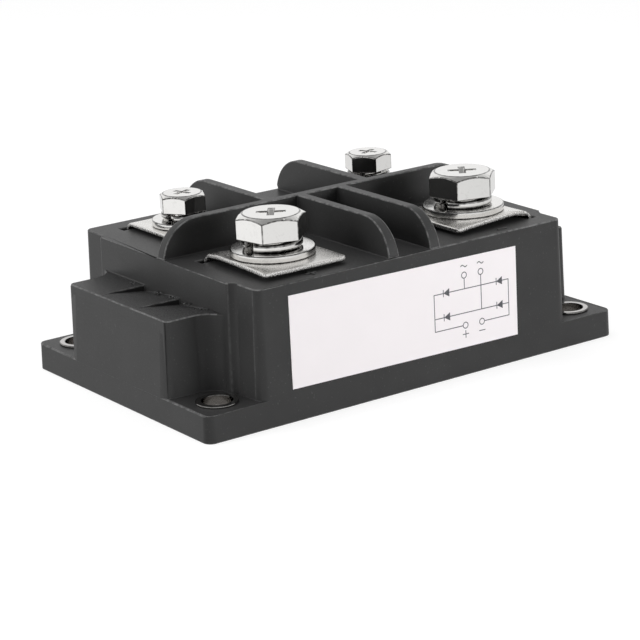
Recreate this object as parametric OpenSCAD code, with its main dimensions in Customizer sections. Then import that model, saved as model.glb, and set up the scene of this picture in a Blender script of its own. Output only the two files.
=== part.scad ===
// Single-phase bridge rectifier module.
// A moulded black housing stands on a flat metal baseplate and carries four screw terminals:
// two large DC ones along the front and two smaller AC ones along the back. Moulded fins
// part the terminals, and a stepped ledge at each end stands between two mounting ears.
// +X runs along the length, +Y to the back, +Z up. The origin is the middle of the underside.

/* [Base] */
// Length of the base over its mounting ears
base_l = 108; // [104:1:114]
// Width of the base
base_w = 70; // [68:1:76]
// Thickness of the mounting ears
ear_t = 6; // [5:0.5:7]
// Corner radius of the base
base_r = 2; // [1:0.5:3]
// Draft of the moulded outer walls, in degrees
draft = 1.5; // [0.5:0.25:2]

/* [Mounting holes] */
// Distance from the end of the base to the mounting hole's axis
hole_end = 7; // [6.6:0.1:7.4]
// Distance from the side of the base to the mounting hole's axis
hole_side = 7; // [6.6:0.1:8]
// Diameter of the mounting hole through the eyelet
hole_d = 6.5; // [5.5:0.1:6.7]
// Wall of the eyelet's tube
eyelet_wall = 0.6; // [0.4:0.1:0.8]
// Diameter of the eyelet's rolled flange
eyelet_flange_d = 9; // [8.6:0.1:10]
// Thickness of the eyelet's rolled flange
eyelet_flange_t = 0.5; // [0.3:0.1:0.8]

/* [Body] */
// Height of the deck that carries the terminals
deck_z = 29.5; // [28:0.5:33]
// Distance from the end of the base to the body's corner faces
body_end = 13.1; // [12.8:0.1:14]
// How far the middle of the end wall stands out past the corner faces
end_step = 1.3; // [0.8:0.1:1.6]
// Width of the middle of the end wall
end_mid_w = 53.2; // [51:0.5:55]
// Radius of the body's upright corners
body_r = 2.2; // [1.6:0.2:3]
// Thickness of the deck
deck_t = 2.5; // [2:0.25:3.5]

/* [Ledges] */
// Height of the end ledges
ledge_z = 22.5; // [21:0.5:24]
// Distance from the end of the base to the end of the ledge
ledge_end = 0.4; // [0.3:0.1:1]
// Width of the end ledges
ledge_w = 40.8; // [39:0.2:42]
// Radius of the corner between ledge and end wall
ledge_fillet = 4.8; // [4:0.2:5]
// Depth of the steps in the ledge beside the end wall
step_depth = 1.3; // [0.8:0.1:1.6]
// Distance between the two steps
step_pitch = 14; // [12:0.5:15]
// Thickness of the ledge's top wall
ledge_t = 3; // [2.5:0.25:3.5]

/* [Fins] */
// Height of the fins above the deck
fin_h = 7.9; // [6.5:0.1:9]
// Thickness of the fins at their top
fin_top_t = 2.2; // [1.8:0.1:2.6]
// Thickness of the fins at their foot
fin_foot_t = 2.7; // [2.6:0.1:3.2]
// Radius of the fins' rounded ends
fin_r = 9; // [8.2:0.1:10]
// Distance between the two front fins
front_fin_pitch = 10.8; // [10:0.2:13]
// Distance from the end of the base to a back fin's middle
back_fin_end = 41.2; // [40.6:0.1:43]

/* [Terminals] */
// Distance from the end of the base to the left terminals' axes
left_end = 29.5; // [28.4:0.1:30]
// Distance from the end of the base to the right terminals' axes
right_end = 27.8; // [27.6:0.1:29]
// Distance from the side of the base to a terminal's axis
terminal_side = 17.5; // [17:0.1:17.9]
// How far a terminal nut stands proud of the deck
nut_proud = 0.6; // [0.3:0.1:0.8]
// Clearance round the nuts and the straps in the housing
pocket_gap = 0.35; // [0.2:0.05:0.4]

/* [DC terminals] */
// Thread diameter of the DC terminal bolts
dc_d = 8; // [7:0.5:8.5]
// Width across flats of the DC bolt heads
dc_af = 13.5; // [13:0.5:14]
// Height of the DC bolt heads
dc_head_h = 5.2; // [4.5:0.1:6]
// Length of the DC bolts under the head
dc_bolt_l = 16; // [15:0.5:17]
// Width across flats of the DC nuts
dc_nut_af = 13; // [12.5:0.5:13.5]
// Height of the DC nuts
dc_nut_h = 6.5; // [6:0.1:6.8]
// Outer diameter of the DC flat washers
dc_washer_d = 18; // [16:0.5:18]
// Thickness of the DC flat washers
dc_washer_t = 1.5; // [1.2:0.1:2]
// Outer diameter of the DC spring washers
dc_spring_d = 12.9; // [12.3:0.1:13.4]
// Thickness of the DC spring washers' section
dc_spring_t = 1.6; // [1.4:0.1:2]
// Thickness of the DC straps
dc_strap_t = 1; // [0.8:0.1:1.2]
// Width of the positive strap
plus_strap_w = 20.8; // [18.4:0.2:21.2]
// Width of the negative strap
minus_strap_w = 22; // [20:0.2:22.8]
// Offset of the positive strap's middle towards the left
plus_strap_shift = 0.5; // [0:0.1:1]
// Offset of the negative strap's middle towards the front
minus_strap_shift = 1.9; // [1.5:0.1:2.2]
// How much narrower the negative strap is at its leg, along its front edge
minus_strap_taper = 1.6; // [0:0.1:2]
// Distance from the DC bolt's axis to the positive strap's free end
plus_strap_free = 13.1; // [11:0.1:14]
// Distance from the DC bolt's axis to the negative strap's free end
minus_strap_free = 11.6; // [10.5:0.1:12.2]
// Distance from the DC bolt's axis to the strap's leg
dc_leg_reach = 9.75; // [9.6:0.05:10.3]

/* [AC terminals] */
// Thread diameter of the AC terminal bolts
ac_d = 6; // [5:0.5:6.5]
// Width across flats of the AC bolt heads
ac_af = 9.5; // [9:0.5:10]
// Height of the AC bolt heads
ac_head_h = 4; // [3.5:0.1:4.5]
// Length of the AC bolts under the head
ac_bolt_l = 12; // [11:0.5:14]
// Width across flats of the AC nuts
ac_nut_af = 10; // [9.5:0.5:10.5]
// Height of the AC nuts
ac_nut_h = 5; // [4.5:0.1:5.5]
// Outer diameter of the AC flat washers
ac_washer_d = 14; // [12:0.5:14.5]
// Thickness of the AC flat washers
ac_washer_t = 1.4; // [1:0.1:1.8]
// Outer diameter of the AC spring washers
ac_spring_d = 9.8; // [9.2:0.1:10.2]
// Thickness of the AC spring washers' section
ac_spring_t = 1.3; // [1:0.1:1.6]
// Thickness of the AC straps
ac_strap_t = 0.9; // [0.8:0.1:1.2]
// Width of the AC straps
ac_strap_w = 15.6; // [14.4:0.2:15.8]
// Offset of the left AC strap's middle towards the left
ac_left_strap_shift = 0.7; // [0:0.1:0.8]
// Distance from the AC bolt's axis to the strap's free end
ac_strap_free = 7.8; // [7.2:0.1:9]
// Distance from the AC bolt's axis to the strap's leg
ac_leg_reach = 10.4; // [10.2:0.1:12]

/* [Label] */
// Length of the label on the front wall
label_l = 59.5; // [50:0.5:62]
// Height of the label
label_h = 19.8; // [16:0.2:20]
// Thickness of the label
label_t = 0.12; // [0.1:0.02:0.2]
// How far the label's middle lies left of the body's middle
label_left = 3; // [0:0.5:6]
// Height of the label's middle up the front wall
label_z = 16.5; // [16:0.1:17]
// Slant of the label as it was stuck on, in degrees
label_slant = 1; // [0:0.25:1.5]

/* [Inside] */
// Thickness of the baseplate
plate_t = 3; // [2.5:0.25:3.5]
// Wall between the baseplate and the outer wall's foot
rim_t = 2.8; // [2.4:0.1:3.2]
// Width of the shelf that the baseplate is bonded to
shelf_w = 1; // [0.8:0.1:1.2]
// Thickness of the ceramic insulators
ceramic_t = 0.8; // [0.6:0.1:1]
// Thickness of the copper pads
pad_t = 1.2; // [1:0.1:1.5]
// Width of the square diode chips
chip_w = 13; // [11:0.5:13]
// Thickness of the diode chips
chip_t = 0.4; // [0.3:0.1:0.5]
// Diameter of the molybdenum discs on both sides of a chip
disc_d = 11; // [9:0.5:11.5]
// Thickness of the molybdenum discs
disc_t = 0.5; // [0.4:0.1:0.8]
// Thickness of the copper bars that join the chips to the AC straps
bar_t = 1.5; // [1.2:0.1:2]
// Height of the silicone gel's surface
gel_z = 12; // [11:0.5:12.5]
// Thickness of the resin layer over the gel
resin_t = 3.4; // [2.5:0.1:3.5]

/* [Hidden] */

$fn = 64;
corner_fn = 32;         // facets round the drafted blocks' corners
bite = 0.05;            // how far a fillet's cutter runs into the walls it joins
recess_r = 1.5;         // corner radius of the baseplate's recess
step_margin = 1;        // level rim outside the steps
step_land = 0.1;        // level land between the steps
edge_r = 1.5;           // corner radius of the end wall's middle and of the ledges, at their foot
sink = 0.5;             // how deep one moulded shape runs into the next
over = 1;               // how far a cut runs past the face it opens
running_gap = 0.05;     // radial gap of a bolt in its nut and an eyelet in its ear
plate_gap = 0.15;       // gap between the baseplate and its recess
glue_t = 0.02;          // adhesive under the label
gel_gap = 0.1;          // gap between the gel and what it surrounds

function inset(z) = z * tan(draft);
function side(i) = i % 2 == 0 ? -1 : 1;
function front_back(i) = i < 2 ? -1 : 1;

// Half sizes at the foot of the outer walls
half_l = base_l / 2;
half_w = base_w / 2;
body_x = half_l - body_end;
mid_x = body_x + end_step;
mid_y = end_mid_w / 2;
ledge_x = half_l - ledge_end;
ledge_y = ledge_w / 2;

// Where the outer walls stand at the height of the deck
deck_x = mid_x - inset(deck_z);
deck_y = half_w - inset(deck_z);
fin_top_z = deck_z + fin_h;

hole_x = half_l - hole_end;
hole_y = half_w - hole_side;
left_x = half_l - left_end;
right_x = half_l - right_end;
terminal_y = half_w - terminal_side;
back_fin_x = half_l - back_fin_end;

// Baseplate recess and the cavity above it
recess_x = body_x - 1.2;
recess_y = half_w - rim_t;
recess_tongue_x = ledge_x - rim_t;
recess_tongue_y = ledge_y - rim_t;
cavity_x = recess_x - plate_gap - shelf_w;
cavity_y = recess_y - shelf_w;
tongue_x = recess_tongue_x - shelf_w;
tongue_y = recess_tongue_y - shelf_w;
ceiling_z = deck_z - deck_t;

// Heights in the stack on the baseplate
pad_z = plate_t + ceramic_t;
lower_disc_z = pad_z + pad_t;
chip_z = lower_disc_z + disc_t;
upper_disc_z = chip_z + chip_t;
bar_z = upper_disc_z + disc_t;
pad_gap = 3;            // gap between the two pads
ceramic_rim = 0.5;      // how far a ceramic stands out round its pad
pad_end = 0.7;          // gap between a pad and the cavity's wall
chip_x = pad_gap / 2 + 1.5 + chip_w / 2;
chip_back_y = terminal_y - 5.5;
chip_front_y = -terminal_y - 0.5;
bar_w = chip_w - 2;
bar_leg_w = 8;

// Heights in the stack on a terminal
strap_z = deck_z + nut_proud;
dc_washer_z = strap_z + dc_strap_t;
dc_spring_z = dc_washer_z + dc_washer_t;
spring_rise = [0.6, 0.6, 0.4, 0.9];     // how far each spring washer's split ends stand apart
split_at = [186, 190, 200, 200];        // direction of each spring washer's split, in degrees
head_turn = [41.5, 43.2, 5, 12.5];      // how far each bolt's head is turned, in degrees
ac_washer_z = strap_z + ac_strap_t;
ac_spring_z = ac_washer_z + ac_washer_t;
strap_hole_gap = 0.4;   // radial clearance of a bolt in its strap
washer_hole_gap = 0.25; // radial clearance of a bolt in its washers
well_gap = 0.5;         // radial clearance of a bolt's tip in its well
well_floor = 1.5;       // depth of the well below the bolt's tip
boss_wall = 2.3;        // wall of the boss round a nut pocket
boss_floor = 1.5;       // floor of the boss under the well
strap_bend_r = 1.4;     // inner radius of a strap's bends
strap_corner_r = 1.2;   // corner radius of a strap's free end
foot_l = 5;             // length of a strap's foot
slot_end = [1.3, 0.4, 1.4, 1.4];        // gap beside each strap in its slot
slot_in = 0.6;          // gap between a leg and its slot on the bolt's side
slot_out = 0.8;         // gap between a leg and its slot on the far side
slot_depth = 12;        // depth of the slots' walls below the ceiling

// ---- shared shapes ----

module round_rect(l, w, r) {
    square([l - 2 * r, w], center = true);
    square([l, w - 2 * r], center = true);
    for (x = [-1, 1], y = [-1, 1])
        translate([x * (l / 2 - r), y * (w / 2 - r)]) circle(r);
}

// A block whose walls lean in by the draft; hx and hy are its half sizes at z = 0
module drafted_block(hx, hy, z0, z1, r) {
    x = hx - inset(z0) - r;
    y = hy - inset(z0) - r;
    hull() for (sx = [-1, 1], sy = [-1, 1])
        translate([sx * x, sy * y, z0])
            cylinder(z1 - z0, r, r - inset(z1 - z0), $fn = corner_fn);
}

function terminal_x(i) = i % 2 == 0 ? -left_x : right_x;

module at_terminal(i) {
    translate([terminal_x(i), front_back(i) * terminal_y, 0]) children();
}

module hex(af, h) {
    cylinder(h, d = af / cos(30), $fn = 6);
}

// Hexagon whose corners are turned down at 30 degrees to a round face of diameter face_d
module chamfered_hex(af, h, face_d) {
    reach = af / cos(30) + 1 - face_d;
    fall = reach / 2 * tan(30);
    intersection() {
        hex(af, h);
        union() {
            translate([0, 0, -over]) cylinder(h - fall + over, d = face_d + reach);
            translate([0, 0, h - fall]) cylinder(fall, d1 = face_d + reach, d2 = face_d);
        }
    }
}

// ---- housing ----

// Side view of a fin: flat top, both ends rounded down to the deck's edge
module fin_profile(half) {
    centre_z = fin_top_z - fin_r;
    centre_s = half - sqrt(fin_r * fin_r - pow(deck_z - centre_z, 2));
    intersection() {
        union() {
            for (s = [-1, 1]) translate([s * centre_s, centre_z]) circle(fin_r);
            translate([-centre_s, centre_z]) square([2 * centre_s, fin_r]);
        }
        translate([-half - over, deck_z]) square([2 * (half + over), fin_h + over]);
    }
    translate([-half + sink, deck_z - sink]) square([2 * (half - sink), 2 * sink]);
}

// A fin along X through the origin, thinner at its top
module fin_bar(half) {
    intersection() {
        rotate([90, 0, 0]) linear_extrude(2 * fin_foot_t, center = true) fin_profile(half);
        rotate([90, 0, 90]) linear_extrude(2 * half + 2 * over, center = true) polygon([
            [-fin_foot_t / 2, deck_z], [-fin_foot_t / 2, deck_z - over],
            [fin_foot_t / 2, deck_z - over], [fin_foot_t / 2, deck_z],
            [fin_top_t / 2, fin_top_z], [-fin_top_t / 2, fin_top_z]]);
    }
}

module fins() {
    fin_bar(deck_x);
    for (s = [-1, 1]) {
        intersection() {
            translate([s * front_fin_pitch / 2, 0, 0]) rotate([0, 0, 90]) fin_bar(deck_y);
            translate([-half_l, -base_w, 0]) cube([base_l, base_w, 2 * fin_top_z]);
        }
        intersection() {
            translate([s * back_fin_x, 0, 0]) rotate([0, 0, 90]) fin_bar(deck_y);
            translate([-half_l, 0, 0]) cube([base_l, base_w, 2 * fin_top_z]);
        }
    }
}

// Quarter-round web between the ledge's side and the end wall
module ledge_web(sx, sy) {
    r_top = ledge_fillet + inset(ledge_z - ear_t);
    axis_x = mid_x - inset(ledge_z) + r_top;
    axis_y = ledge_y - inset(ledge_z) + r_top;
    mirror([sx < 0 ? 1 : 0, 0, 0]) mirror([0, sy < 0 ? 1 : 0, 0]) difference() {
        translate([mid_x - 2, ledge_y - 2, ear_t - sink])
            cube([axis_x - mid_x + 2, axis_y - ledge_y + 2, ledge_z - ear_t + sink]);
        translate([axis_x, axis_y, ear_t - over])
            cylinder(ledge_z - ear_t + 2 * over, ledge_fillet + bite - inset(over),
                r_top + bite + inset(over));
    }
}

// Wedge whose cut lets the ledge's top fall away in front of a step at y, deepest inwards
module ledge_step(y) {
    outer = ledge_x - inset(ledge_z) - step_margin;
    inner = mid_x - 2;
    low = ledge_z - step_depth * (outer - inner) / (outer - mid_x);
    polyhedron(
        points = [[outer, y, ledge_z], [inner, y, low],
                  [inner, y - step_pitch, ledge_z], [outer, y, ledge_z + over],
                  [inner, y, ledge_z + over], [inner, y - step_pitch, ledge_z + over]],
        faces = [[0, 1, 2], [3, 5, 4], [0, 3, 4, 1], [1, 4, 5, 2], [2, 5, 3, 0]]);
}

// Both end ledges, with two shallow steps in the top of each
module ledges() {
    difference() {
        drafted_block(ledge_x, ledge_y, ear_t - sink, ledge_z, edge_r);
        for (m = [0, 1], k = [0, 1])
            mirror([m, 0, 0]) ledge_step((0.5 - k) * (step_pitch + step_land));
    }
}

module boss(i) {
    d = i < 2 ? dc_nut_af : ac_nut_af;
    bottom = well_bottom(i) - boss_floor;
    at_terminal(i) translate([0, 0, bottom])
        cylinder(ceiling_z - bottom + sink, r = d / 2 / cos(30) + pocket_gap + boss_wall);
}

function head_z(i) = (i < 2 ? dc_spring_z + dc_spring_t : ac_spring_z + ac_spring_t) + spring_rise[i];
function nut_turn(i) = i == 1 ? 30 : 0;
function strap_w(i) = i == 0 ? plus_strap_w : i == 1 ? minus_strap_w : ac_strap_w;
function strap_t(i) = i < 2 ? dc_strap_t : ac_strap_t;
function strap_taper(i) = i == 1 ? minus_strap_taper : 0;
function well_bottom(i) = head_z(i) - (i < 2 ? dc_bolt_l : ac_bolt_l) - well_floor;

// Hexagonal nut pocket with a round well for the bolt's tip
module nut_pocket(i) {
    af = i < 2 ? dc_nut_af : ac_nut_af;
    h = i < 2 ? dc_nut_h : ac_nut_h;
    d = i < 2 ? dc_d : ac_d;
    at_terminal(i) {
        translate([0, 0, strap_z - h]) rotate([0, 0, nut_turn(i)])
            hex(af + 2 * pocket_gap, h + over);
        translate([0, 0, well_bottom(i)])
            cylinder(strap_z - h - well_bottom(i) + over, r = d / 2 + well_gap);
    }
}

// Slot that a strap's leg goes down through
module strap_slot(i) {
    low = ceiling_z - slot_depth;
    strap_frame(i)
        translate([leg_reach(i) - strap_t(i) / 2 - slot_in, -strap_w(i) / 2 - slot_end[i], low])
            cube([strap_t(i) + slot_in + slot_out,
                strap_w(i) - strap_taper(i) + 2 * slot_end[i], deck_z - low + over]);
}

module plan_cross(x, y, tongue_half_x, tongue_half_y, r) {
    round_rect(2 * x, 2 * y, r);
    round_rect(2 * tongue_half_x, 2 * tongue_half_y, r);
}

module housing() color("#2c2c2d") {
    difference() {
        union() {
            difference() {
                union() {
                    drafted_block(half_l, half_w, 0, ear_t, base_r);
                    drafted_block(body_x, half_w, ear_t, deck_z, body_r);
                    drafted_block(mid_x, mid_y, ear_t - sink, deck_z, edge_r);
                    ledges();
                    for (sx = [-1, 1], sy = [-1, 1]) ledge_web(sx, sy);
                }
                translate([0, 0, -over]) linear_extrude(plate_t + over) plan_cross(
                    recess_x, recess_y, recess_tongue_x, recess_tongue_y, recess_r);
                translate([0, 0, plate_t - over]) linear_extrude(ceiling_z - plate_t + over)
                    round_rect(2 * cavity_x, 2 * cavity_y, 2);
                translate([0, 0, plate_t - over])
                    linear_extrude(ledge_z - ledge_t - plate_t + over)
                        round_rect(2 * tongue_x, 2 * tongue_y, 2);
            }
            for (i = [0:3]) boss(i);
            fins();
        }
        for (i = [0:3]) {
            nut_pocket(i);
            strap_slot(i);
            translate([side(i) * hole_x, front_back(i) * hole_y, -over])
                cylinder(ear_t + 2 * over, r = eyelet_r() + running_gap);
        }
    }
}

// ---- baseplate, eyelets and label ----

module baseplate() color("#b9b6ad")
    linear_extrude(plate_t)
        plan_cross(recess_x - plate_gap, recess_y - plate_gap,
            recess_tongue_x - plate_gap, recess_tongue_y - plate_gap, recess_r - plate_gap);

function eyelet_r() = hole_d / 2 + eyelet_wall;

module eyelet(i) color("#c9c6bf")
    translate([side(i) * hole_x, front_back(i) * hole_y, 0]) difference() {
        union() {
            cylinder(ear_t + eyelet_flange_t, r = eyelet_r());
            translate([0, 0, ear_t]) cylinder(eyelet_flange_t, d = eyelet_flange_d);
        }
        translate([0, 0, -over]) cylinder(ear_t + eyelet_flange_t + 2 * over, d = hole_d);
    }

module label() color("white")
    translate([0, -half_w, 0]) rotate([-draft, 0, 0])
        translate([-label_left, -glue_t - label_t / 2, label_z]) rotate([0, label_slant, 0])
            cube([label_l, label_t, label_h], center = true);

// ---- terminals ----

function leg_reach(i) = i < 2 ? dc_leg_reach : ac_leg_reach;

// How far a strap's middle lies off its bolt's axis, across its leg's direction
function strap_shift(i) = i == 0 ? plus_strap_shift : i == 1 ? minus_strap_shift :
                          i == 2 ? ac_left_strap_shift : 0;

// A strap's own frame: its leg lies in +X, and it reaches to +Y by its shift
module strap_frame(i) {
    at_terminal(i) mirror([0, i == 1 ? 1 : 0, 0]) rotate([0, 0, i == 1 ? 0 : 90])
        translate([0, strap_shift(i), 0]) children();
}

// Centre line of a folded strip as [point, heading] pairs. A step is [length] for a
// straight run or [radius, angle] for a bend, and a positive angle turns left.
function walk(steps, p = [0, 0], a = 0, i = 0) =
    i == len(steps) ? [[p, a]] :
    len(steps[i]) == 1
        ? concat([[p, a]], walk(steps, p + steps[i][0] * [cos(a), sin(a)], a, i + 1))
        : concat([[p, a]], [for (k = [1:bend_parts(steps[i])])
              if (k < bend_parts(steps[i])) bend_at(p, a, steps[i], k)],
              walk(steps, bend_at(p, a, steps[i], bend_parts(steps[i]))[0],
                   a + steps[i][1], i + 1));
function bend_parts(step) = ceil(abs(step[1]) / 12);
function bend_at(p, a, step, k) =
    let (turn = step[1] * k / bend_parts(step), s = sign(step[1]))
    [p + s * step[0] * [sin(a + turn) - sin(a), cos(a) - cos(a + turn)], a + turn];

// Side view of a strip of thickness t along such a centre line
module folded_strip(steps, t) {
    line = walk(steps);
    left = [for (q = line) q[0] + t / 2 * [-sin(q[1]), cos(q[1])]];
    right = [for (k = [len(line) - 1:-1:0])
        line[k][0] - t / 2 * [-sin(line[k][1]), cos(line[k][1])]];
    polygon(concat(left, right));
}

function strap_free(i) = i == 0 ? plus_strap_free : i == 1 ? minus_strap_free : ac_strap_free;

// Plan of a strap: rounded corners at its free end, and narrower from its leg on
module strap_plan(i) {
    half = strap_w(i) / 2;
    narrow = half - strap_taper(i);
    start = strap_corner_r - strap_free(i);
    difference() {
        translate([base_w / 2 - strap_free(i), 0]) round_rect(base_w, 2 * half, strap_corner_r);
        polygon([[start, half], [leg_reach(i) - strap_t(i), narrow], [base_w, narrow],
            [base_w, half + over], [start, half + over]]);
    }
}

// Folded sheet strap: flat under the bolt, down through the deck, and a foot
module strap(i) {
    t = strap_t(i);
    foot_z = i < 2 ? lower_disc_z : bar_z + bar_t;
    bend = strap_bend_r + t / 2;
    flat = leg_reach(i) - bend;
    drop = strap_z - foot_z - 2 * bend;
    foot_turn = i == 0 ? 90 : -90;
    d = i < 2 ? dc_d : ac_d;
    color("#cfccc4") strap_frame(i) difference() {
        intersection() {
            rotate([90, 0, 0]) linear_extrude(strap_w(i) + 2 * bite, center = true)
                translate([-strap_free(i) - bite, strap_z + t / 2])
                    folded_strip([[strap_free(i) + bite + flat], [bend, -90], [drop],
                        [bend, foot_turn], [foot_l - bend]], t);
            linear_extrude(base_w) strap_plan(i);
        }
        translate([0, -strap_shift(i), strap_z - over])
            cylinder(t + 2 * over, r = d / 2 + strap_hole_gap);
    }
}

module nut(i) {
    af = i < 2 ? dc_nut_af : ac_nut_af;
    h = i < 2 ? dc_nut_h : ac_nut_h;
    d = i < 2 ? dc_d : ac_d;
    face_d = 0.95 * af;
    color("#b8b5a8") at_terminal(i) translate([0, 0, strap_z - h])
        rotate([0, 0, nut_turn(i)]) difference() {
            intersection() {
                chamfered_hex(af, h, face_d);
                translate([0, 0, h]) rotate([180, 0, 0]) chamfered_hex(af, h, face_d);
            }
            translate([0, 0, -over]) cylinder(h + 2 * over, d = d + 2 * running_gap);
        }
}

module flat_washer(i) {
    d = i < 2 ? dc_d : ac_d;
    z = i < 2 ? dc_washer_z : ac_washer_z;
    t = i < 2 ? dc_washer_t : ac_washer_t;
    outer = i < 2 ? dc_washer_d : ac_washer_d;
    color("#d8d7d3") at_terminal(i) translate([0, 0, z]) difference() {
        cylinder(t, d = outer);
        translate([0, 0, -over]) cylinder(t + 2 * over, r = d / 2 + washer_hole_gap);
    }
}

// Split spring washer: a square-section ring that climbs a little from one cut end to the other
module spring_washer(i) {
    d = i < 2 ? dc_d : ac_d;
    z = i < 2 ? dc_spring_z : ac_spring_z;
    t = i < 2 ? dc_spring_t : ac_spring_t;
    outer = (i < 2 ? dc_spring_d : ac_spring_d) / 2;
    inner = d / 2 + washer_hole_gap;
    rings = 44;
    split = 8;
    start = split_at[i];
    section = [[inner, 0], [outer, 0], [outer, t], [inner, t]];
    points = [for (k = [0:rings]) let (a = start + split + (360 - 2 * split) * k / rings)
        for (q = section) [q[0] * cos(a), q[0] * sin(a), q[1] + spring_rise[i] * k / rings]];
    sides = [for (k = [0:rings - 1], j = [0:3])
        [4 * k + j, 4 * (k + 1) + j, 4 * (k + 1) + (j + 1) % 4, 4 * k + (j + 1) % 4]];
    color("#dcdcda") at_terminal(i) translate([0, 0, z])
        polyhedron(points, concat([[0, 1, 2, 3]], sides,
            [[4 * rings + 3, 4 * rings + 2, 4 * rings + 1, 4 * rings]]));
}

// Hexagon bolt with a chamfered head and a cross recess that deepens to its middle
module bolt(i) {
    d = i < 2 ? dc_d : ac_d;
    af = i < 2 ? dc_af : ac_af;
    h = i < 2 ? dc_head_h : ac_head_h;
    l = i < 2 ? dc_bolt_l : ac_bolt_l;
    arm = 0.22 * af;
    arm_w = 0.09 * af;
    pit = 0.05 * af;
    recess = 0.16 * af;
    tip = 0.8;
    color("#e4e4e2") at_terminal(i) translate([0, 0, head_z(i)]) difference() {
        union() {
            rotate([0, 0, head_turn[i]]) chamfered_hex(af, h, 0.9 * af);
            translate([0, 0, tip - l]) cylinder(l - tip + sink, d = d);
            translate([0, 0, -l]) cylinder(tip, d1 = d - 2 * tip, d2 = d);
        }
        for (a = [0, 90]) rotate([90, 0, head_turn[i] + 12 + a])
            linear_extrude(arm_w, center = true)
                polygon([[-arm, h + over], [-arm, h - 0.2], [-pit, h - recess],
                    [pit, h - recess], [arm, h - 0.2], [arm, h + over]]);
    }
}

// ---- inside ----

// Chips 1 and 2 stand on the positive pad, chips 3 and 4 on the negative pad
module at_chip(i) {
    translate([side(i > 1 ? 1 : 0) * chip_x, i % 2 == 0 ? chip_back_y : chip_front_y, 0])
        children();
}

module pad_plan(s, grow) {
    x0 = pad_gap / 2 - grow;
    x1 = cavity_x - pad_end - ceramic_rim + grow;
    y = cavity_y - pad_end - ceramic_rim + grow;
    translate([s < 0 ? -x1 : x0, -y]) square([x1 - x0, 2 * y]);
}

module ceramic(s) color("#e9e7e0")
    translate([0, 0, plate_t]) linear_extrude(ceramic_t) pad_plan(s, ceramic_rim);

module pad(s) color("#b8743f")
    translate([0, 0, pad_z]) linear_extrude(pad_t) pad_plan(s, 0);

module disc(i, z) color("#8f9196")
    at_chip(i) translate([0, 0, z]) cylinder(disc_t, d = disc_d);

module chip(i) color("#3a3f4a")
    at_chip(i) translate([-chip_w / 2, -chip_w / 2, chip_z]) cube([chip_w, chip_w, chip_t]);

module grown_rect(x0, y0, x1, y1, grow) {
    translate([x0 - grow, y0 - grow]) square([x1 - x0 + 2 * grow, y1 - y0 + 2 * grow]);
}

// Plan of the bar that joins the two chips of one AC phase to its strap's foot
module bar_plan(s, grow) {
    y = s < 0 ? chip_back_y : chip_front_y;
    foot_y = terminal_y + ac_leg_reach;
    leg_x = s < 0 ? left_x + ac_left_strap_shift : right_x;
    leg_half = (s < 0 ? ac_strap_w : bar_leg_w) / 2;
    foot_half = ac_strap_w / 2;
    mirror([s < 0 ? 1 : 0, 0]) {
        grown_rect(-chip_x - chip_w / 2, y - bar_w / 2, leg_x + leg_half, y + bar_w / 2, grow);
        grown_rect(leg_x - leg_half, y - bar_w / 2, leg_x + leg_half, foot_y, grow);
        grown_rect(leg_x - foot_half, foot_y - foot_l - ac_strap_t, leg_x + foot_half, foot_y,
            grow);
    }
}

module bar(s) color("#b8743f")
    translate([0, 0, bar_z]) linear_extrude(bar_t) bar_plan(s, 0);

// Space that a strap's leg and foot take, a little larger all round
module strap_space(i) {
    w = strap_w(i) + 2 * gel_gap;
    t = strap_t(i) + 2 * gel_gap;
    foot_z = (i < 2 ? lower_disc_z : bar_z + bar_t) - gel_gap;
    reach = leg_reach(i);
    foot_a = i == 0 ? reach - t / 2 : reach - foot_l - gel_gap;
    foot_b = i == 0 ? reach + foot_l + gel_gap : reach + t / 2;
    bend = strap_bend_r + strap_t(i);
    strap_frame(i) translate([0, -w / 2, 0]) {
        translate([reach - t / 2, 0, foot_z]) cube([t, w - strap_taper(i), deck_z]);
        translate([foot_a, 0, foot_z]) cube([foot_b - foot_a, w, bend + gel_gap]);
    }
}

module potting_plan() {
    plan_cross(cavity_x - gel_gap, cavity_y - gel_gap, tongue_x - gel_gap, tongue_y - gel_gap, 1.9);
}

module gel() color("#c8d4dc", 0.5)
    difference() {
        translate([0, 0, plate_t]) linear_extrude(gel_z - plate_t) potting_plan();
        for (s = [-1, 1]) {
            translate([0, 0, plate_t - over]) linear_extrude(over + ceramic_t + pad_t + gel_gap)
                pad_plan(s, ceramic_rim + gel_gap);
            translate([0, 0, bar_z - gel_gap]) linear_extrude(bar_t + 2 * gel_gap)
                bar_plan(s, gel_gap);
        }
        for (i = [0:3]) {
            at_chip(i) translate([-chip_w / 2 - gel_gap, -chip_w / 2 - gel_gap, pad_z])
                cube([chip_w + 2 * gel_gap, chip_w + 2 * gel_gap, bar_z - pad_z + gel_gap]);
            strap_space(i);
        }
    }

module resin() color("#1c1c1e")
    difference() {
        translate([0, 0, gel_z]) linear_extrude(resin_t) potting_plan();
        for (i = [0:3]) strap_space(i);
    }

housing();
baseplate();
label();
eyelet(0);  // eyelet_front_left
eyelet(1);  // eyelet_front_right
eyelet(2);  // eyelet_back_left
eyelet(3);  // eyelet_back_right
strap(0);  // strap_plus
strap(1);  // strap_minus
strap(2);  // strap_ac_left
strap(3);  // strap_ac_right
nut(0);  // nut_plus
nut(1);  // nut_minus
nut(2);  // nut_ac_left
nut(3);  // nut_ac_right
flat_washer(0);  // flat_washer_plus
flat_washer(1);  // flat_washer_minus
flat_washer(2);  // flat_washer_ac_left
flat_washer(3);  // flat_washer_ac_right
spring_washer(0);  // spring_washer_plus
spring_washer(1);  // spring_washer_minus
spring_washer(2);  // spring_washer_ac_left
spring_washer(3);  // spring_washer_ac_right
bolt(0);  // bolt_plus
bolt(1);  // bolt_minus
bolt(2);  // bolt_ac_left
bolt(3);  // bolt_ac_right
ceramic(-1);  // ceramic_plus
ceramic(1);  // ceramic_minus
pad(-1);  // pad_plus
pad(1);  // pad_minus
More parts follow.
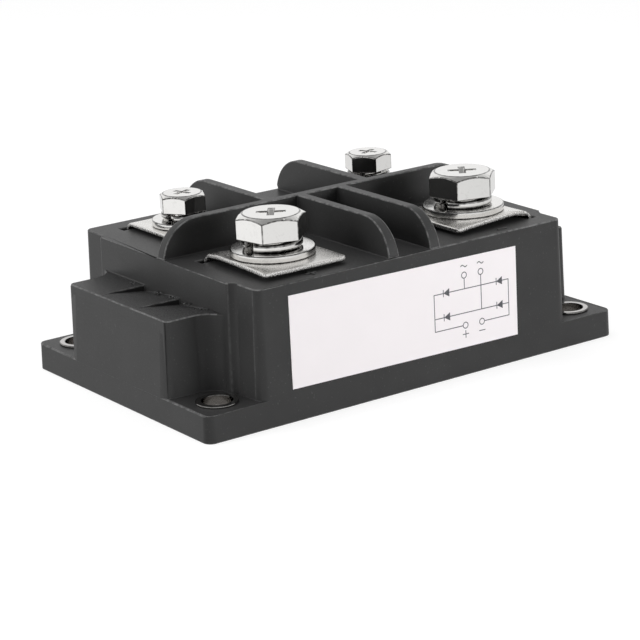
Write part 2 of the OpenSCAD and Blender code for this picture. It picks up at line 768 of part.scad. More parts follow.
disc(0, lower_disc_z);  // lower_disc_1
disc(1, lower_disc_z);  // lower_disc_2
disc(2, lower_disc_z);  // lower_disc_3
disc(3, lower_disc_z);  // lower_disc_4
chip(0);  // chip_1
chip(1);  // chip_2
chip(2);  // chip_3
chip(3);  // chip_4
disc(0, upper_disc_z);  // upper_disc_1
disc(1, upper_disc_z);  // upper_disc_2
disc(2, upper_disc_z);  // upper_disc_3
disc(3, upper_disc_z);  // upper_disc_4
bar(-1);  // bar_ac_left
bar(1);  // bar_ac_right
gel();
resin();
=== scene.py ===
"""Dresses the bridge rectifier module: rounded mouldings, plated metal, label and stage."""
import math
import random

import bmesh
import bpy
from bpy.props import FloatProperty, FloatVectorProperty, PointerProperty
from mathutils import Matrix, Vector


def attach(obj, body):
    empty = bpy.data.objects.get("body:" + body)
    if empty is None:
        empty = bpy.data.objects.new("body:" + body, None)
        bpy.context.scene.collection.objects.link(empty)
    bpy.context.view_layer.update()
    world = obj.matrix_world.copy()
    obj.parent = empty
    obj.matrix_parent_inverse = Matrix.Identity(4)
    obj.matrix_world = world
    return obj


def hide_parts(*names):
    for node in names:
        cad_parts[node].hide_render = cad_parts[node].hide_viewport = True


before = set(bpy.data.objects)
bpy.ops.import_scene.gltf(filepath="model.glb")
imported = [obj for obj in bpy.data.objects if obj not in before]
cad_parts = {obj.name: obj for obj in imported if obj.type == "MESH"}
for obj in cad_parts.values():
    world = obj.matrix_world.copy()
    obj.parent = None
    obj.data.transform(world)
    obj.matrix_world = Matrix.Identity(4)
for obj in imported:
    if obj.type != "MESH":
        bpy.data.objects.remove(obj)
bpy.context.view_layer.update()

bl_info = {
    "name": "Bridge Rectifier Module",
    "version": (1, 0, 0),
    "blender": (4, 5, 0),
    "location": "View3D > Sidebar > Rectifier",
    "description": "Builds the finishes of a bridge rectifier module round its solids",
    "category": "Object",
}

MM = 0.001
TERMINALS = ("plus", "minus", "ac_left", "ac_right")
DC_TERMINALS = ("plus", "minus")
CORNERS = ("front_left", "front_right", "back_left", "back_right")
# face attributes: 1 on rounded arrises, and 1 on the rough skin of the housing's ledges
ARRIS, ROUGH = "arris", "rough_skin"


def linear_rgb(hex_code):
    """Turns an sRGB hex value into linear red, green and blue."""
    parts = [int(hex_code[i:i + 2], 16) / 255 for i in (1, 3, 5)]
    return [c / 12.92 if c <= 0.04045 else ((c + 0.055) / 1.055) ** 2.4 for c in parts]


# ---- settings ----


class HousingSettings(bpy.types.PropertyGroup):
    """Moulded housing: edge radii and colour."""

    edge_radius: FloatProperty(
        name="Edge radius", description="Radius on the moulding's edges",
        default=0.26 * MM, min=0.0, unit="LENGTH")
    edge_angle: FloatProperty(
        name="Edge angle", description="Edges sharper than this are rounded",
        default=math.radians(28), subtype="ANGLE")
    grain: FloatProperty(
        name="Grain", description="Size of the moulded surface's fine grain",
        default=0.35 * MM, unit="LENGTH")
    colour: FloatVectorProperty(
        name="Colour", description="Colour of the black moulding",
        default=linear_rgb("#353535"), subtype="COLOR", size=3)
    worn_colour: FloatVectorProperty(
        name="Edge colour", description="Paler colour where edges and grain are rubbed",
        default=linear_rgb("#404040"), subtype="COLOR", size=3)


class MetalSettings(bpy.types.PropertyGroup):
    """Straps, fasteners, eyelets and baseplate: edge radii and colours."""

    plate_edge: FloatProperty(
        name="Baseplate edge", description="Radius on the baseplate's edges",
        default=0.2 * MM, unit="LENGTH")
    eyelet_edge: FloatProperty(
        name="Eyelet edge", description="Radius on the eyelets' rolled rims",
        default=0.18 * MM, unit="LENGTH")
    strap_edge: FloatProperty(
        name="Strap edge", description="Radius on the sheared edges of the straps",
        default=0.28 * MM, unit="LENGTH")
    washer_edge: FloatProperty(
        name="Washer edge", description="Radius on the flat washers' stamped edges",
        default=0.22 * MM, unit="LENGTH")
    spring_edge: FloatProperty(
        name="Spring washer edge", description="Radius on the spring washers' section",
        default=0.5 * MM, unit="LENGTH")
    head_edge: FloatProperty(
        name="Bolt edge", description="Radius on the edges of the bolt heads",
        default=0.19 * MM, unit="LENGTH")
    fastener_colour: FloatVectorProperty(
        name="Fastener colour", description="Colour of the bright nickel plating",
        default=linear_rgb("#e4e3e1"), subtype="COLOR", size=3)
    eyelet_colour: FloatVectorProperty(
        name="Eyelet colour", description="Colour of the eyelets' plating",
        default=linear_rgb("#b8b6b4"), subtype="COLOR", size=3)
    strap_colour: FloatVectorProperty(
        name="Strap colour", description="Colour of the satin nickel plating",
        default=linear_rgb("#e6e4e1"), subtype="COLOR", size=3)
    sheared_colour: FloatVectorProperty(
        name="Sheared edge colour", description="Colour of the rough sheared edges",
        default=linear_rgb("#a3a19e"), subtype="COLOR", size=3)


class LabelSettings(bpy.types.PropertyGroup):
    """White film label with its printed circuit diagram."""

    line_width: FloatProperty(
        name="Line width", description="Width of the diagram's printed lines",
        default=0.2 * MM, unit="LENGTH")
    ink_height: FloatProperty(
        name="Ink height", description="How far the ink stands on the film",
        default=0.012 * MM, unit="LENGTH")
    ring_radius: FloatProperty(
        name="Terminal ring", description="Radius of the rings that stand for terminals",
        default=0.66 * MM, unit="LENGTH")
    film_colour: FloatVectorProperty(
        name="Film colour", description="Colour of the label's film",
        default=linear_rgb("#f4eff1"), subtype="COLOR", size=3)
    ink_colour: FloatVectorProperty(
        name="Ink colour", description="Colour of the printed lines",
        default=linear_rgb("#55555a"), subtype="COLOR", size=3)


class StageSettings(bpy.types.PropertyGroup):
    """White sweep, soft lamps and camera."""

    azimuth: FloatProperty(
        name="Azimuth", description="Camera's direction round the part",
        default=math.radians(-34.445), subtype="ANGLE")
    elevation: FloatProperty(
        name="Elevation", description="Camera's height above the horizon",
        default=math.radians(16.817), subtype="ANGLE")
    roll: FloatProperty(
        name="Roll", description="Camera's turn about its own axis",
        default=math.radians(-2.814), subtype="ANGLE")
    distance: FloatProperty(
        name="Distance", description="Distance from the camera to its target",
        default=517.85 * MM, unit="LENGTH")
    lens: FloatProperty(
        name="Lens", description="Focal length for a 36 mm sensor, in millimetres",
        default=137.26)
    white: FloatVectorProperty(
        name="Backdrop colour", description="Colour that the floor and backdrop show",
        default=linear_rgb("#ffffff"), subtype="COLOR", size=3)
    floor_colour: FloatVectorProperty(
        name="Floor colour", description="Colour of the floor's matt face, which takes the shadow",
        default=linear_rgb("#959595"), subtype="COLOR", size=3)
    floor_glow: FloatProperty(
        name="Floor glow", description="White that the floor shows under its shadow",
        default=0.8, min=0.0, max=1.0, subtype="FACTOR")
    floor_fall: FloatProperty(
        name="Floor fall-off", description="Share of the glow that reflections see at the right",
        default=0.72, min=0.0, max=1.0, subtype="FACTOR")
    room_light: FloatProperty(
        name="Room light", description="Even light from all round, as a share of white",
        default=0.2, min=0.0, max=1.0, subtype="FACTOR")
    ceiling: FloatProperty(
        name="Ceiling", description="Brightness that reflections show straight overhead",
        default=0.35, min=0.0, max=1.0, subtype="FACTOR")


class RectifierSettings(bpy.types.PropertyGroup):
    """All settings of the rectifier's finish."""

    housing: PointerProperty(type=HousingSettings)
    metal: PointerProperty(type=MetalSettings)
    label: PointerProperty(type=LabelSettings)
    stage: PointerProperty(type=StageSettings)


# ---- materials ----

# the Mix node's colour sockets, which share their names with its other sockets
MIX_A, MIX_B, MIXED = 6, 7, 2


def set_sockets(node, sockets):
    """Sets a node's inputs by name or in order; a node or an output is linked to its input."""
    for name, value in sockets.items() if isinstance(sockets, dict) else enumerate(sockets):
        if isinstance(value, bpy.types.Node):
            value = value.outputs[0]
        if isinstance(value, bpy.types.NodeSocket):
            node.id_data.links.new(value, node.inputs[name])
        else:
            node.inputs[name].default_value = value


def add_node(tree, kind, sockets=(), **attributes):
    """Adds a shader node with its attributes and its inputs."""
    node = tree.nodes.new("ShaderNode" + kind)
    for name, value in attributes.items():
        setattr(node, name, value)
    set_sockets(node, sockets)
    return node


def new_material(name, **sockets):
    """A material with a principled shader; returns it, its tree, its shader and the place
    on the piece, in millimetres."""
    material = bpy.data.materials.new(name)
    material.use_nodes = True
    tree = material.node_tree
    tree.nodes.clear()
    shader = add_node(tree, "BsdfPrincipled",
                      {key.replace("_", " "): value for key, value in sockets.items()})
    add_node(tree, "OutputMaterial", {"Surface": shader})
    metres = add_node(tree, "TexCoord").outputs["Object"]
    place = add_node(tree, "Mapping", {"Vector": metres, "Scale": (1 / MM, 1 / MM, 1 / MM)})
    return material, tree, shader, place


def rgba(colour):
    """Turns a hex value, or a linear colour, into the four values of a colour socket."""
    return (*(linear_rgb(colour) if isinstance(colour, str) else colour), 1.0)


def moulded_thermoset(settings):
    """Glass-filled black moulding: satin, with a fine grain, faint flow marks and rubbed edges with
    a painted highlight.
    """
    material, tree, shader, place = new_material(
        "Glass-filled moulding", IOR=1.5, Specular_IOR_Level=0.2)
    grain = add_node(tree, "TexNoise", {
        "Vector": place, "Scale": MM / settings.grain, "Detail": 3, "Roughness": 0.6})
    # cloudy patches about 9 mm across, as the fill flows and cools unevenly
    cloud = add_node(tree, "TexNoise", {"Vector": place, "Scale": 1 / 9})
    body = add_node(tree, "Mix", {
        "Factor": add_node(tree, "MapRange", (cloud, 0.35, 0.7, 0, 0.3)),
        MIX_A: rgba(settings.colour), MIX_B: rgba(settings.worn_colour)}, data_type="RGBA")
    # short pale specks of glass fibre, drawn 0.5 mm coarse so that they show
    fibre = add_node(tree, "TexNoise", {"Vector": place, "Scale": 1 / 0.5, "Detail": 1})
    specked = add_node(tree, "Mix", {
        "Factor": add_node(tree, "MapRange", (fibre, 0.68, 0.78, 0, 0.35)),
        MIX_A: body.outputs[MIXED], MIX_B: rgba("#5c5c5c")}, data_type="RGBA")
    # the ledges' steps came rough from the mould: a darker, crumbly skin of 0.45 mm grains
    crumbs = add_node(tree, "TexNoise", {
        "Vector": place, "Scale": 1 / 0.45, "Detail": 4, "Roughness": 0.75})
    skin = add_node(tree, "Mix", {
        "Factor": add_node(tree, "MapRange", (crumbs, 0.42, 0.62, 0, 1)),
        MIX_A: rgba("#262626"), MIX_B: rgba("#454545")}, data_type="RGBA")
    rough = add_node(tree, "Attribute", attribute_name=ROUGH).outputs["Fac"]
    stepped = add_node(tree, "Mix", {
        "Factor": rough, MIX_A: specked.outputs[MIXED], MIX_B: skin.outputs[MIXED]},
        data_type="RGBA")
    # rubbed edges with a painted highlight: the rounded arrises carry the attribute, broken up
    # about every 1.5 mm
    arris = add_node(tree, "Attribute", attribute_name=ARRIS).outputs["Fac"]
    edge_breaks = add_node(tree, "TexNoise", {
        "Vector": place, "Scale": 1 / 1.5, "Detail": 4, "Roughness": 0.7})
    rubbed_and_highlit = add_node(tree, "Math", (
        arris, add_node(tree, "MapRange", (edge_breaks, 0.38, 0.62, 0.1, 1))), operation="MULTIPLY")
    rubbed_and_highlit_colour = add_node(tree, "Mix", {
        "Factor": rubbed_and_highlit, MIX_A: stepped.outputs[MIXED], MIX_B: rgba("#727272")},
        data_type="RGBA")
    crumbly = add_node(tree, "Bump", {
        "Distance": 0.12 * MM,
        "Height": add_node(tree, "Math", (crumbs, rough), operation="MULTIPLY")})
    set_sockets(shader, {
        "Base Color": rubbed_and_highlit_colour.outputs[MIXED],
        "Roughness": add_node(tree, "MapRange", (grain, 0.3, 0.7, 0.36, 0.46)),
        "Normal": add_node(tree, "Bump", {
            "Distance": 0.01 * MM, "Height": grain, "Normal": crumbly})})
    return material


def bright_nickel(name, colour, roughness=(0.05, 0.1)):
    """Polished plating over cold-headed steel: mirror bright, with fine handling marks."""
    material, tree, shader, place = new_material(name, Metallic=1.0)
    # scratches 0.4 mm apart and five times as long
    along = add_node(tree, "Mapping", {"Vector": place, "Scale": (1 / 5, 1, 1)})
    scratch = add_node(tree, "TexNoise", {"Vector": along, "Scale": 1 / 0.4})
    # dull patches about 1.2 mm across
    dull = add_node(tree, "TexNoise", {
        "Vector": place, "Scale": 1 / 1.2, "Detail": 4, "Roughness": 0.65})
    plated = add_node(tree, "Mix", {
        "Factor": add_node(tree, "MapRange", (dull, 0.55, 0.8, 0, 0.25)),
        MIX_A: rgba(colour), MIX_B: rgba("#a9a7a4")}, data_type="RGBA")
    # along the arrises a painted dark reflection, in a broken line
    arris = add_node(tree, "Attribute", attribute_name=ARRIS).outputs["Fac"]
    dark_edge_mask = add_node(tree, "Math", (
        arris, add_node(tree, "MapRange", (dull, 0.35, 0.6, 0.5, 1))), operation="MULTIPLY")
    dark_edged = add_node(tree, "Mix", {
        "Factor": dark_edge_mask, MIX_A: plated.outputs[MIXED], MIX_B: rgba("#545352")}, data_type="RGBA")
    set_sockets(shader, {
        "Base Color": dark_edged.outputs[MIXED],
        "Roughness": add_node(tree, "MapRange", (dull, 0.4, 0.7, *roughness)),
        "Normal": add_node(tree, "Bump", {
            "Strength": 0.5, "Distance": 0.003 * MM, "Height": scratch})})
    return material


def satin_nickel_sheet(settings):
    """Nickel-plated copper sheet: bright satin faces of fine grain, and sparkling sheared edges."""
    material, tree, shader, place = new_material("Nickel-plated sheet", Metallic=1.0)
    grain = add_node(tree, "TexNoise", {
        "Vector": place, "Scale": 1 / 0.3, "Detail": 3, "Roughness": 0.6})
    # faint patches of the plating, about 4 mm across
    patch = add_node(tree, "TexNoise", {"Vector": place, "Scale": 1 / 4, "Detail": 3})
    face = add_node(tree, "Mix", {
        "Factor": add_node(tree, "MapRange", (patch, 0.45, 0.75, 0, 0.5)),
        MIX_A: rgba(settings.strap_colour), MIX_B: rgba("#c9c6c1")}, data_type="RGBA")
    # the sheared edges' torn grains, about 0.3 mm
    torn = add_node(tree, "TexNoise", {
        "Vector": place, "Scale": 1 / 0.3, "Detail": 3, "Roughness": 0.7})
    tears = add_node(tree, "Mix", {
        "Factor": add_node(tree, "MapRange", (torn, 0.38, 0.58, 0, 1)),
        MIX_A: rgba(settings.sheared_colour), MIX_B: rgba("#f6f5f3")}, data_type="RGBA")
    # sheared edges stand upright, so they are told from the faces by their normal
    normal = add_node(tree, "NewGeometry").outputs["Normal"]
    upright = add_node(tree, "SeparateXYZ", {"Vector": normal}).outputs["Z"]
    steep = add_node(tree, "Math", (upright,), operation="ABSOLUTE")
    edge = add_node(tree, "MapRange", (steep, 0.9, 0.5, 0.08, 1))
    sheared = add_node(tree, "Mix", {
        "Factor": edge, MIX_A: face.outputs[MIXED], MIX_B: tears.outputs[MIXED]},
        data_type="RGBA")
    fine = add_node(tree, "Bump", {
        "Strength": 0.7, "Distance": 0.005 * MM, "Height": grain})
    set_sockets(shader, {
        "Base Color": sheared.outputs[MIXED],
        "Roughness": add_node(tree, "MapRange", (grain, 0.3, 0.7, 0.2, 0.34)),
        "Normal": add_node(tree, "Bump", {
            "Distance": 0.1 * MM, "Normal": fine,
            "Height": add_node(tree, "Math", (torn, edge), operation="MULTIPLY")})})
    return material


def ground_nickel():
    """The baseplate's ground metal under matt nickel: long fine lines along the plate."""
    material, tree, shader, place = new_material("Ground nickel", Metallic=1.0)
    # grinding lines 0.3 mm apart, drawn that coarse so that they show, and 6 mm long
    along = add_node(tree, "Mapping", {"Vector": place, "Scale": (1 / 20, 1, 1)})
    ground = add_node(tree, "TexNoise", {"Vector": along, "Scale": 1 / 0.3, "Detail": 3})
    cloud = add_node(tree, "TexNoise", {"Vector": place, "Scale": 1 / 8})
    tone = add_node(tree, "Mix", {
        "Factor": cloud, MIX_A: rgba("#b2b0ad"), MIX_B: rgba("#cecdca")}, data_type="RGBA")
    set_sockets(shader, {
        "Base Color": tone.outputs[MIXED],
        "Roughness": add_node(tree, "MapRange", (ground, 0.3, 0.7, 0.22, 0.4)),
        "Normal": add_node(tree, "Bump", {
            "Strength": 0.6, "Distance": 0.008 * MM, "Height": ground})})
    return material


def label_film(settings):
    """White polyester film: smooth and slightly glossy, faintly wavy over its adhesive."""
    material, tree, shader, place = new_material(
        "Label film", IOR=1.5, Specular_IOR_Level=0.4)
    # waves about 6 mm across, and a fine 0.4 mm mottle in the gloss
    wave = add_node(tree, "TexNoise", {"Vector": place, "Scale": 1 / 6, "Detail": 1})
    mottle = add_node(tree, "TexNoise", {"Vector": place, "Scale": 1 / 0.4})
    tone = add_node(tree, "Mix", {
        "Factor": add_node(tree, "MapRange", (wave, 0.3, 0.7, 0, 0.25)),
        MIX_A: rgba(settings.film_colour), MIX_B: rgba("#efebec")}, data_type="RGBA")
    set_sockets(shader, {
        "Base Color": tone.outputs[MIXED],
        "Roughness": add_node(tree, "MapRange", (mottle, 0.3, 0.7, 0.34, 0.46)),
        "Normal": add_node(tree, "Bump", {
            "Strength": 0.25, "Distance": 0.03 * MM, "Height": wave})})
    return material


def printing_ink(settings):
    """Thermal-transfer print: grey-black with tiny voids, 0.25 mm, along its strokes."""
    material, tree, shader, place = new_material("Printing ink", IOR=1.5, Roughness=0.5)
    void = add_node(tree, "TexNoise", {"Vector": place, "Scale": 1 / 0.25})
    tone = add_node(tree, "Mix", {
        "Factor": add_node(tree, "MapRange", (void, 0.55, 0.75, 0, 0.5)),
        MIX_A: rgba(settings.ink_colour), MIX_B: rgba("#8f8f92")}, data_type="RGBA")
    set_sockets(shader, {"Base Color": tone.outputs[MIXED]})
    return material


def plain_solid(name, dark, pale, size, roughness, depth, **sockets):
    """An inner part's material: two tones in patches of `size`, with a bump `depth` deep, both
    in millimetres."""
    material, tree, shader, place = new_material(name, **sockets)
    patch = add_node(tree, "TexNoise", {"Vector": place, "Scale": 1 / size, "Detail": 3})
    tone = add_node(tree, "Mix", {
        "Factor": add_node(tree, "MapRange", (patch, 0.3, 0.7, 0, 1)),
        MIX_A: rgba(dark), MIX_B: rgba(pale)}, data_type="RGBA")
    set_sockets(shader, {
        "Base Color": tone.outputs[MIXED],
        "Roughness": add_node(tree, "MapRange", (patch, 0.3, 0.7, *roughness)),
        "Normal": add_node(tree, "Bump", {
            "Strength": 0.5, "Distance": depth * MM, "Height": patch})})
    return material


# ---- shaping ----

# corners of the solids that lie closer than this, in metres, are one, and faces that meet at
# less than FLAT are parts of one flat face
DOUBLED, FLAT = 0.002 * MM, math.radians(0.6)
# edges of faces that meet at more than this are rounded, unless a piece says otherwise
EDGE_ANGLE = math.radians(28)
# faces that meet at less than this are shaded as one surface
SMOOTH_ANGLE = math.radians(35)


def smooth(value):
    """Eases from 0 to 1 as value goes from 0 to 1."""
    value = min(max(value, 0.0), 1.0)
    return value * value * (3 - 2 * value)


def within(value, limits):
    """Whether a value lies between two limits."""
    low, high = limits
    return low < value < high


def span(values):
    """The lowest and the highest of some values."""
    values = list(values)
    return min(values), max(values)


def interpolate(points, at):
    """The value at a place along a row of (place, value) points, held past both ends."""
    if at <= points[0][0]:
        return points[0][1]
    for (x0, y0), (x1, y1) in zip(points, points[1:]):
        if at <= x1:
            return y0 + (y1 - y0) * smooth((at - x0) / (x1 - x0))
    return points[-1][1]


def merged_copy(node):
    """A mesh with the solid's own faces made whole: doubled corners merged, flat fans joined."""
    bm = bmesh.new()
    bm.from_mesh(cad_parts[node].data)
    bmesh.ops.remove_doubles(bm, verts=bm.verts, dist=DOUBLED)
    bmesh.ops.dissolve_degenerate(bm, edges=bm.edges, dist=DOUBLED)
    bmesh.ops.dissolve_limit(bm, angle_limit=FLAT, verts=bm.verts, edges=bm.edges)
    bm.faces.layers.float.new(ARRIS)
    return bm


def round_edges(bm, radius, angle, segments=2, choose=None):
    """Rounds the edges whose faces meet at more than `angle`; returns the new faces.

    The rounding isn't clamped: one crowded corner would thin it on the whole piece.
    """
    sharp = [e for e in bm.edges if len(e.link_faces) == 2
             and e.calc_face_angle(0.0) > angle and (choose is None or choose(e))]
    return bmesh.ops.bevel(bm, geom=sharp, offset=radius, offset_type="OFFSET", segments=segments,
                           profile=0.5, affect="EDGES", clamp_overlap=False, material=-1)["faces"]


def mark_arrises(bm, faces):
    """Marks the rounded faces of outward-turning edges for the moulding's wear and painted
    highlight, and for the bright plating's painted dark reflection.
    """
    bm.normal_update()
    layer = bm.faces.layers.float[ARRIS]
    for face in faces:
        if sum(edge.calc_face_angle_signed(0.0) for edge in face.edges
               if len(edge.link_faces) == 2) > 0:
            face[layer] = 1.0


def finish_mesh(bm, name):
    """Makes the object from a bmesh, shades it smooth up to an angle and rides it on the body."""
    mesh = bpy.data.meshes.new(name)
    bm.to_mesh(mesh)
    bm.free()
    piece = bpy.data.objects.new(name, mesh)
    bpy.context.scene.collection.objects.link(piece)
    mesh.shade_smooth()
    mesh.set_sharp_from_angle(angle=SMOOTH_ANGLE)
    # flat faces stay flat to the eye, and only the rounded edges turn the light
    weigh = piece.modifiers.new("Flat faces", "WEIGHTED_NORMAL")
    weigh.mode = "FACE_AREA"
    weigh.keep_sharp = True
    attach(piece, "root")
    return piece


def dressed_copy(node, name, material, radius, angle=EDGE_ANGLE, segments=2, shape=None):
    """Replaces a solid by its rounded copy in the given material, shaped further if asked."""
    bm = merged_copy(node)
    if shape:
        shape(bm)
    mark_arrises(bm, round_edges(bm, radius, angle, segments))
    piece = finish_mesh(bm, name)
    piece.data.materials.append(material)
    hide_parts(node)
    return piece


def paint(node, material):
    """Gives a solid that keeps its own shape its material."""
    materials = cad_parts[node].data.materials
    materials.clear()
    materials.append(material)


# ---- pieces ----


class RECTIFIER_OT_housing(bpy.types.Operator):
    """Moulded housing with rounded edges, rough ledges and raised signs at its DC terminals"""

    bl_idname = "rectifier.housing"
    bl_label = "Housing"

    # All lengths are in millimetres from the middle of the underside.
    # Heights of the flange's top, of the deck and of the end ledges' outer edge
    FLANGE_TOP, DECK, LEDGE_TOP = 6.0, 29.5, 22.1
    # the ledges' tops: how far out and how high they lie
    LEDGE_X, LEDGE_Z = (41.7, 53.6), (20.5, 23.5)

    # a back fin ends on the deck's edge, and its foot is drawn in so that both can be rounded
    FIN_FOOT_X, FIN_FOOT_Y, FIN_FOOT_IN = (11, 14.6), 34.1, 0.7

    # the flange's upper outline is rounded less, because the long walls stand just inside it:
    # the radius, how far out an edge has to lie, and where the flange's own ends begin
    RIM_RADIUS = 0.12
    BODY_X, BODY_Y, FLANGE_END = 50, 31, 53.9
    # the foot of the long walls, which isn't rounded
    FOOT_Z, FOOT_Y = (5.5, 6.05), 34

    # the upright inner corner between the end wall and the wider corner block, and the fillets'
    # plans at foot and top: outwards and sideways from that corner
    INNER_CORNER, CORNER_REACH = (40.5, 26.3), 0.5
    PLAN_LOW = ((0, -0.1), (0.87, -0.41), (0.5, -0.04), (0.28, 0.2), (0.12, 0.45), (0.03, 0.8),
                (-0.05, 1.1), (-0.15, 0.6))
    PLAN_HIGH = ((0, -0.1), (1.04, -0.26), (0.62, 0.16), (0.33, 0.5), (0.14, 0.8), (0.03, 1.15),
                 (-0.05, 1.5), (-0.15, 0.8))

    # the ledges' end walls at foot and top, and how proud the blend stands along y
    END_WALL, END_WALL_TOP, BLEND_SINK = 53.4, 52.96, 0.2
    END_BLEND = ((-19.3, 0.0), (-18.3, 0.4), (-17.2, 0.585),
                 (17.2, 0.585), (18.3, 0.4), (19.3, 0.0))

    # wear and painted highlight, from 0 to 1, on the facets up the body's corners, and painted
    # highlight on the end walls'
    #  rounded corners: where they lie, and which way they face
    TALL = 15
    BODY_CORNER, BODY_FACING, BODY_WEAR = (39, 32), (0.05, 0.25), 0.3
    WALL_X, WALL_Y, WALL_FACING, WALL_WEAR = (40.5, 42.4), (24.8, 26.5), (0.3, 0.9), 0.22

    # raised signs before the DC terminals: middle, half length, half width, height and edge
    SIGNS = (("plus", (-24.8, -31.6)), ("minus", (25.2, -32.2)))
    SIGN_HALF, SIGN_LINE, SIGN_HEIGHT, SIGN_EDGE = 1.3, 0.24, 0.28, 0.09

    # flash crumbs along the ledges' inner side: the clusters' middles in y, how far they reach
    # along, where they begin beside the wall, how far they reach outwards, and how many each has
    CLUSTERS = (-17.1, -11.8, -5.5, -0.3, 10.4)
    CLUSTER_REACH, CLUSTER_START, CLUSTER_DEPTH, CRUMBS = 1.3, 0.3, 1.5, 11
    # a crumb's radius, and its shares of that along, across and in height
    CRUMB_SIZES, CRUMB_WIDTH, CRUMB_HEIGHT = (0.12, 0.32), (0.7, 1.3), (0.4, 0.9)
    CRUMB_AXIS, CRUMB_SEED = (0.3, 0.5, 0.8), 11

    def execute(self, context):
        settings = context.scene.rectifier.housing
        bm = merged_copy("housing")
        bm.faces.layers.float.new(ROUGH)
        self.free_fin_foot(bm)
        corners = self.inner_corners(bm)
        for radius, choose in ((self.RIM_RADIUS * MM, self.on_rim),
                               (settings.edge_radius, self.off_foot)):
            mark_arrises(bm, round_edges(bm, radius, settings.edge_angle, choose=choose))
        self.mark_body_corners(bm)
        self.mark_rough(bm)
        for low, high in corners:
            self.fillet(bm, low, high)
        for side in (-1, 1):
            self.blend_end(bm, side)
        self.crumble(bm)
        self.raise_signs(bm)
        housing = finish_mesh(bm, "Moulded_housing")
        housing.data.materials.append(moulded_thermoset(settings))
        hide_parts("housing")
        return {"FINISHED"}

    def free_fin_foot(self, bm):
        """Draws a back fin's foot in from the deck's edge, so that both can be rounded."""
        for vert in bm.verts:
            x, y, z = vert.co / MM
            if abs(z - self.DECK) < 0.05 and y > self.FIN_FOOT_Y and within(x, self.FIN_FOOT_X):
                vert.co.y -= self.FIN_FOOT_IN * MM

    def on_rim(self, edge):
        """The upper outline of the mounting flange."""
        a, b = (vert.co / MM for vert in edge.verts)
        level = max(abs(a.z - self.FLANGE_TOP), abs(b.z - self.FLANGE_TOP)) < 0.01
        outside = all(abs(c.y) > self.BODY_Y or abs(c.x) > self.BODY_X for c in (a, b))
        ledge_foot = within(abs(a.x), (self.BODY_X, self.FLANGE_END)) and abs(a.y) < self.BODY_Y
        return level and outside and not ledge_foot and edge.calc_face_angle_signed(0.0) > 0

    def off_foot(self, edge):
        """Every edge but the rim and the foot of the long walls, a hair's breadth inside it."""
        return not all(within(vert.co.z / MM, self.FOOT_Z) and abs(vert.co.y) / MM > self.FOOT_Y
                       for vert in edge.verts)

    def inner_corners(self, bm):
        """Foot and top of the four upright inner corners of the end walls."""
        ends = {}
        for edge in bm.edges:
            a, b = (vert.co for vert in edge.verts)
            middle = (a + b) / 2
            upright = abs(a.z - b.z) > 0.9 * (a - b).length
            near = all(abs(abs(value) / MM - place) < self.CORNER_REACH
                       for value, place in zip(middle.xy, self.INNER_CORNER))
            if (upright and near and len(edge.link_faces) == 2
                    and edge.calc_face_angle_signed(0.0) < -math.radians(60)):
                corner = (middle.x > 0, middle.y > 0)
                ends.setdefault(corner, []).extend((a.copy(), b.copy()))
        rows = [sorted(points, key=lambda point: point.z) for points in ends.values()]
        return [(row[0], row[-1]) for row in rows]

    def fillet(self, bm, low, high):
        """Fills an inner corner softly, from its plan at the foot to its plan at the top."""
        out, side = math.copysign(MM, low.x), math.copysign(MM, low.y)
        rings = [[bm.verts.new(corner + Vector((out * a, side * b, 0))) for a, b in plan]
                 for corner, plan in ((low, self.PLAN_LOW), (high, self.PLAN_HIGH))]
        # joined corner by corner, because bridging the two plans would twist them
        foot, top = ([*ring, ring[0]] for ring in rings)
        faces = [bm.faces.new(corners) for corners in zip(foot, foot[1:], top[1:], top)]
        faces += [bm.faces.new(ring) for ring in rings]
        bmesh.ops.recalc_face_normals(bm, faces=faces)

    def crumble(self, bm):
        """Scatters small crumbs of flash along the inner side of each ledge's top."""
        dice = random.Random(self.CRUMB_SEED)
        arris, rough = (bm.faces.layers.float[name] for name in (ARRIS, ROUGH))
        # the ledges' tops are larger than 4 square millimetres, their rounded edges smaller
        tops = [(face.calc_center_median(), face.normal.copy(),
                 [vert.co.copy() for vert in face.verts])
                for face in bm.faces if face[rough] > 0 and face.calc_area() > 4 * MM * MM]
        for side in (-1, 1):
            for middle in self.CLUSTERS:
                for _ in range(self.CRUMBS):
                    x = side * (self.LEDGE_X[0] + self.CLUSTER_START
                                + dice.random() * self.CLUSTER_DEPTH) * MM
                    y = (middle + dice.uniform(-1, 1) * self.CLUSTER_REACH) * MM
                    size = dice.uniform(*self.CRUMB_SIZES) * MM
                    squash = [dice.uniform(*limits) for limits in
                              (self.CRUMB_WIDTH, self.CRUMB_WIDTH, self.CRUMB_HEIGHT)]
                    turn = dice.uniform(0, math.tau)
                    height = self.top_height(tops, x, y)
                    if height is None:
                        continue
                    crumb = bmesh.ops.create_icosphere(bm, subdivisions=1, radius=size)["verts"]
                    # each crumb carries a random share of the moulding's wear and painted highlight
                    shine = dice.random()
                    for face in {face for vert in crumb for face in vert.link_faces}:
                        face[arris] = shine
                    bmesh.ops.scale(bm, vec=squash, verts=crumb)
                    bmesh.ops.rotate(bm, cent=(0, 0, 0), verts=crumb,
                                     matrix=Matrix.Rotation(turn, 3, self.CRUMB_AXIS))
                    bmesh.ops.translate(bm, vec=(x, y, height), verts=crumb)

    def top_height(self, tops, x, y):
        """Height of the ledge's top at a place, or nothing beside it."""
        for middle, normal, corners in tops:
            (left, right), (front, back) = (span(c[axis] for c in corners) for axis in (0, 1))
            if left <= x <= right and front <= y <= back:
                fall = normal.x * (x - middle.x) + normal.y * (y - middle.y)
                return middle.z - fall / normal.z
        return None

